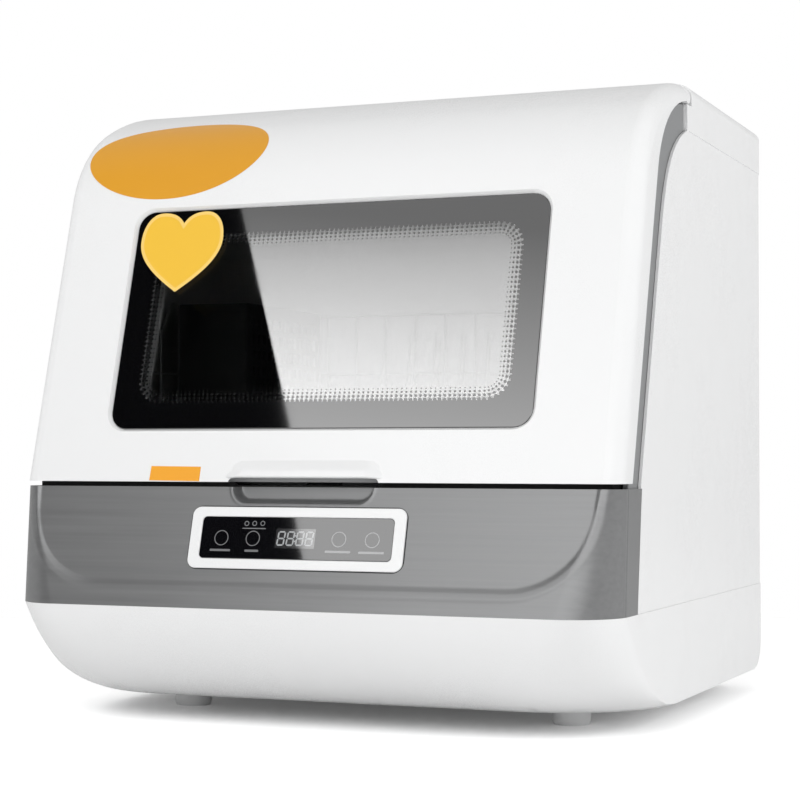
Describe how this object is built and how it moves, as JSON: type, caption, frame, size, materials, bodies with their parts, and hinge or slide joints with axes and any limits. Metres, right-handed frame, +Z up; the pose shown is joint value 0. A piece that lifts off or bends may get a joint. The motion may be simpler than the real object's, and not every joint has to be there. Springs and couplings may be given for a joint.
{
  "type": "countertop dishwasher",
  "caption": "Compact dishwasher with a lift-up window door hinged at the top, a grey control band, a sliding wire basket, a spray arm and a rear water connection.",
  "frame": {"origin": "middle of the overall box, on the surface that the feet stand on", "axes": "+X to the right seen from the front, +Y to the back, +Z up"},
  "size_m": [0.43, 0.445, 0.444],
  "materials": {
    "white_shell": "smooth white moulding",
    "satin_grey": "satin metallic grey paint",
    "black_panel": "black printed panel",
    "black_plastic": "black moulding",
    "circuit_board": "green board",
    "foot_rubber": "translucent grey elastomer",
    "seal_rubber": "soft seal",
    "tub_steel": "brushed steel sheet",
    "steel": "zinc plated",
    "moulded_grey": "light grey moulding",
    "door_glass": "tinted glass with a printed border",
    "coated_wire": "coated wire"
  },
  "bodies": {
    "cabinet": {"base_tray": "white_shell", "foot_front_left": "foot_rubber", "foot_front_right": "foot_rubber", "foot_rear_left": "foot_rubber", "foot_rear_right": "foot_rubber", "front_fascia": "satin_grey", "control_bezel": "white_shell", "control_panel": "black_panel", "display_module": "black_plastic", "touch_board": "circuit_board", "side_panel_left": "white_shell", "side_panel_right": "white_shell", "rear_panel": "white_shell", "top_cover": "white_shell", "opening_frame": "satin_grey", "tub": "tub_steel", "tub_gasket": "seal_rubber", "basket_rails": "moulded_grey", "sump": "moulded_grey", "filter_plate": "tub_steel", "spray_pivot": "moulded_grey", "wash_pump": "black_plastic", "flow_heater": "tub_steel", "wash_hose": "seal_rubber", "drain_pump": "black_plastic", "drain_hose": "seal_rubber", "drain_spigot": "moulded_grey", "inlet_valve": "moulded_grey", "fill_hose": "seal_rubber", "tank_hose": "seal_rubber", "water_tank": "moulded_grey", "fill_funnel": "moulded_grey", "drying_fan": "black_plastic", "air_duct": "moulded_grey", "power_board": "circuit_board", "cord_gland": "black_plastic", "hinge_bracket_left": "steel", "hinge_bracket_right": "steel", "hinge_damper": "black_plastic", "latch_catch": "black_plastic", "case_screws": "steel"},
    "door": {"door_shell": "white_shell", "door_glass": "door_glass", "window_spacer": "black_plastic", "inner_glass": "door_glass", "door_liner": "white_shell", "hinge_arm_left": "steel", "hinge_arm_right": "steel", "hinge_pins": "steel", "latch_tongue": "black_plastic", "door_screws": "steel"},
    "basket": {"basket_floor": "coated_wire", "basket_ends": "coated_wire", "basket_sides": "coated_wire", "plate_tines": "coated_wire", "cutlery_box": "moulded_grey"},
    "spray": {"spray_arm": "moulded_grey", "spray_hub_nut": "black_plastic"},
    "filter": {"filter_cylinder": "moulded_grey"},
    "fill_cap": {"fill_lid": "white_shell"}
  },
  "joints": [
    {"name": "door_hinge", "type": "hinge", "parent": "cabinet", "child": "door", "pos_m": [0, -0.0295, 0.4355], "axis": [-1, 0, 0], "range_deg": [0, 80]},
    {"name": "basket_slide", "type": "slide", "parent": "cabinet", "child": "basket", "axis": [0, -1, 0], "range_m": [0, 0.15]},
    {"name": "spray_arm_spin", "type": "hinge", "parent": "cabinet", "child": "spray", "pos_m": [0, 0.002, 0.186], "axis": [0, 0, 1], "continuous": true},
    {"name": "filter_twist", "type": "hinge", "parent": "cabinet", "child": "filter", "pos_m": [0, -0.078, 0.15], "axis": [0, 0, 1], "range_deg": [0, 45]},
    {"name": "fill_lid_hinge", "type": "hinge", "parent": "cabinet", "child": "fill_cap", "pos_m": [-0.08, 0.175, 0.4416], "axis": [-1, 0, 0], "range_deg": [0, 95]}
  ],
  "couplings": [
    {"joint": "basket_slide", "follows": "door_hinge", "m_per_rad": 0.1073}
  ]
}
